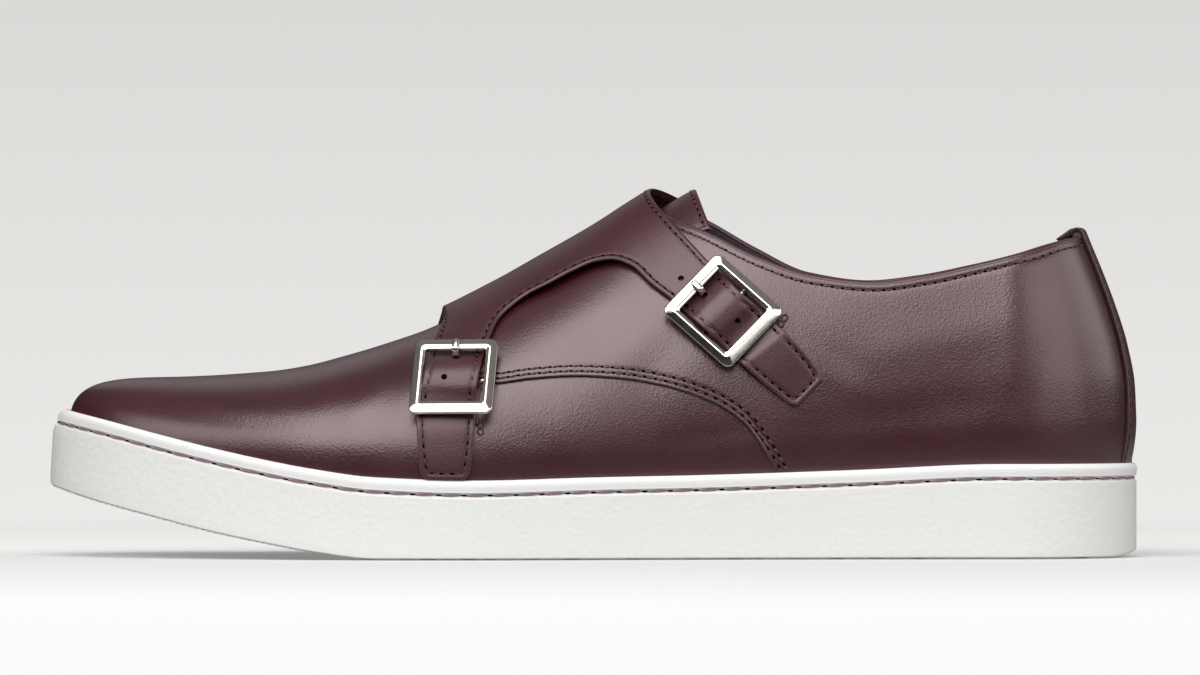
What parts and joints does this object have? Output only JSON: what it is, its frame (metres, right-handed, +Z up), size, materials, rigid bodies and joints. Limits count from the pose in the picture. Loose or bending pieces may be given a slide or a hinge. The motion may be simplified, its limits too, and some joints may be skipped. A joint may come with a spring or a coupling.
{
  "type": "double monk strap sneaker",
  "caption": "Low leather sneaker with a flap over the instep, buckled straps on the outer side, and a white stitched cup sole with toe spring.",
  "frame": {"origin": "on the tread's flat underside, at the middle of the sole's length and on the heel's centre line", "axes": "+X from toe to heel, -Y to the lateral side with the buckles, +Z up; millimetre tables, metres in the row"},
  "size_m": [0.2997, 0.1054, 0.1018],
  "materials": {
    "oxblood_leather": "smooth full-grain calf leather, dark wine red, with a soft wax shine",
    "charcoal_lining": "matt charcoal lining leather",
    "white_rubber": "matt white moulded rubber with a fine pebbled face",
    "polished_nickel": "polished nickel plate, slightly warm"
  },
  "bodies": {
    "root": {"upper": "oxblood_leather", "cup_sole": "white_rubber", "outsole": "white_rubber", "insole": "charcoal_lining", "tongue": "oxblood_leather", "strap_flap": "oxblood_leather", "heel_strip": "oxblood_leather", "keeper_front": "oxblood_leather", "keeper_rear": "oxblood_leather", "buckle_front_frame": "polished_nickel", "buckle_front_prong": "polished_nickel", "buckle_rear_frame": "polished_nickel", "buckle_rear_prong": "polished_nickel"}
  },
  "joints": []
}
